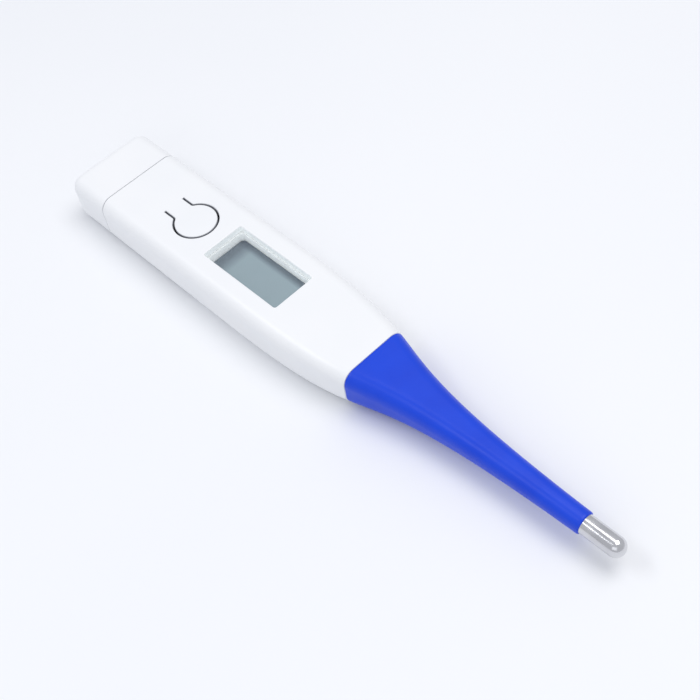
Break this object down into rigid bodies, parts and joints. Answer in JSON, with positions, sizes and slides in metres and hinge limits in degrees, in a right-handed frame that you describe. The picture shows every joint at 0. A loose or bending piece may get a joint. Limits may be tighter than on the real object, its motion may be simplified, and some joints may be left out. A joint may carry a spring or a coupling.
{
  "type": "digital thermometer",
  "caption": "Flexible-tip digital stick thermometer: white housing with display window and press button, tapering blue rubber stem, steel sensor tip and pull-off battery cover.",
  "frame": {"origin": "middle of the overall length and width, on the flat underside", "axes": "+X along the stick towards the metal tip, +Z out of the display side"},
  "size_m": [0.138, 0.02, 0.0106],
  "materials": {
    "white_plastic": "glossy moulded",
    "clear_plastic": "clear polished moulding",
    "inner_plastic": "matt moulded",
    "board_laminate": "solder mask",
    "display_film": "satin film",
    "display_glass": "thin polished glass",
    "contact_rubber": "striped silicone",
    "foam": "closed-cell foam",
    "black_resin": "cured resin",
    "component_ceramic": "fired, tinned ends",
    "sprung_steel": "bright rolled",
    "seal_rubber": "smooth moulded",
    "brass": "rolled",
    "buzzer_ceramic": "silvered ceramic",
    "wire_insulation": "enamelled",
    "stem_rubber": "satin moulded",
    "plunger_plastic": "moulded",
    "cell_steel": "plated",
    "polished_steel": "polished, drawn",
    "bead_ceramic": "glass-coated"
  },
  "bodies": {
    "stick": {"housing": "white_plastic", "window_lens": "clear_plastic", "circuit_frame": "inner_plastic", "circuit_board": "board_laminate", "display_polariser": "display_film", "display_front_glass": "display_glass", "display_rear_glass": "display_glass", "display_reflector": "display_film", "zebra_connector": "contact_rubber", "display_cushion": "foam", "chip_potting": "black_resin", "board_components": "component_ceramic", "switch_dome": "sprung_steel", "button_seal": "seal_rubber", "buzzer_disc": "brass", "buzzer_ceramic": "buzzer_ceramic", "buzzer_spring": "sprung_steel", "battery_contact_positive": "sprung_steel", "battery_contact_negative": "sprung_steel", "lead_wires": "wire_insulation", "stem_root": "stem_rubber"},
    "button": {"button_tab": "white_plastic"},
    "plunger": {"button_plunger": "plunger_plastic"},
    "cover": {"battery_cover": "white_plastic", "cover_seal": "seal_rubber"},
    "tray": {"battery_tray": "inner_plastic", "battery": "cell_steel"},
    "link_1": {"stem_link_1": "stem_rubber"},
    "link_2": {"stem_link_2": "stem_rubber"},
    "link_3": {"stem_link_3": "stem_rubber"},
    "link_4": {"stem_link_4": "stem_rubber"},
    "link_5": {"stem_link_5": "stem_rubber"},
    "link_6": {"stem_link_6": "stem_rubber"},
    "link_7": {"stem_link_7": "stem_rubber"},
    "link_8": {"stem_link_8": "stem_rubber"},
    "tip": {"stem_end": "stem_rubber", "sensor_cap": "polished_steel", "sensor_potting": "black_resin", "thermistor": "bead_ceramic"}
  },
  "joints": [
    {"name": "button_press", "type": "hinge", "parent": "stick", "child": "button", "pos_m": [-0.045, 0, 0.01005], "axis": [0, 1, 0], "range_deg": [0, 4], "stiffness_Nm_per_rad": 0.001, "deforming": ["switch_dome"]},
    {"name": "plunger_travel", "type": "slide", "parent": "stick", "child": "plunger", "axis": [0, 0, -1], "range_m": [0, 0.00051]},
    {"name": "cover_pull", "type": "slide", "parent": "stick", "child": "cover", "axis": [-1, 0, 0], "range_m": [0, 0.024]},
    {"name": "tray_pull", "type": "slide", "parent": "stick", "child": "tray", "axis": [-1, 0, 0], "range_m": [0, 0.0096]},
    {"name": "tip_sway", "type": "hinge", "parent": "stick", "child": "link_1", "pos_m": [0.025, 0, 0.0053], "axis": [0.001, 0, 1], "range_deg": [-9, 9], "stiffness_Nm_per_rad": 0.01},
    {"name": "tip_bend", "type": "hinge", "parent": "link_1", "child": "link_2", "pos_m": [0.02875, 0, 0.0053], "axis": [0.001, -1, 0], "range_deg": [-14, 14], "stiffness_Nm_per_rad": 0.01, "deforming": ["lead_wires"]},
    {"name": "tip_bend_2", "type": "hinge", "parent": "link_2", "child": "link_3", "pos_m": [0.0325, 0, 0.0053], "axis": [0.001, -1, 0], "range_deg": [-14, 14], "stiffness_Nm_per_rad": 0.01},
    {"name": "tip_bend_3", "type": "hinge", "parent": "link_3", "child": "link_4", "pos_m": [0.03625, 0, 0.0053], "axis": [0.001, -1, 0], "range_deg": [-14, 14], "stiffness_Nm_per_rad": 0.01},
    {"name": "tip_sway_2", "type": "hinge", "parent": "link_4", "child": "link_5", "pos_m": [0.04, 0, 0.0053], "axis": [0.001, 0, 1], "range_deg": [-9, 9], "stiffness_Nm_per_rad": 0.01},
    {"name": "tip_bend_4", "type": "hinge", "parent": "link_5", "child": "link_6", "pos_m": [0.04375, 0, 0.0053], "axis": [0.001, -1, 0], "range_deg": [-14, 14], "stiffness_Nm_per_rad": 0.01},
    {"name": "tip_bend_5", "type": "hinge", "parent": "link_6", "child": "link_7", "pos_m": [0.0475, 0, 0.0053], "axis": [0.001, -1, 0], "range_deg": [-14, 14], "stiffness_Nm_per_rad": 0.01},
    {"name": "tip_bend_6", "type": "hinge", "parent": "link_7", "child": "link_8", "pos_m": [0.05125, 0, 0.0053], "axis": [0.001, -1, 0], "range_deg": [-14, 14], "stiffness_Nm_per_rad": 0.01},
    {"name": "tip_sway_3", "type": "hinge", "parent": "link_8", "child": "tip", "pos_m": [0.055, 0, 0.0053], "axis": [0.001, 0, 1], "range_deg": [-9, 9], "stiffness_Nm_per_rad": 0.01}
  ],
  "couplings": [
    {"joint": "button_press", "follows": "plunger_travel", "rad_per_m": 136.8},
    {"joint": "tray_pull", "follows": "cover_pull", "ratio": 0.4},
    {"joint": "tip_bend_2", "follows": "tip_bend", "ratio": 1},
    {"joint": "tip_bend_3", "follows": "tip_bend", "ratio": 1},
    {"joint": "tip_bend_4", "follows": "tip_bend", "ratio": 1},
    {"joint": "tip_bend_5", "follows": "tip_bend", "ratio": 1},
    {"joint": "tip_bend_6", "follows": "tip_bend", "ratio": 1},
    {"joint": "tip_sway_2", "follows": "tip_sway", "ratio": 1},
    {"joint": "tip_sway_3", "follows": "tip_sway", "ratio": 1}
  ]
}
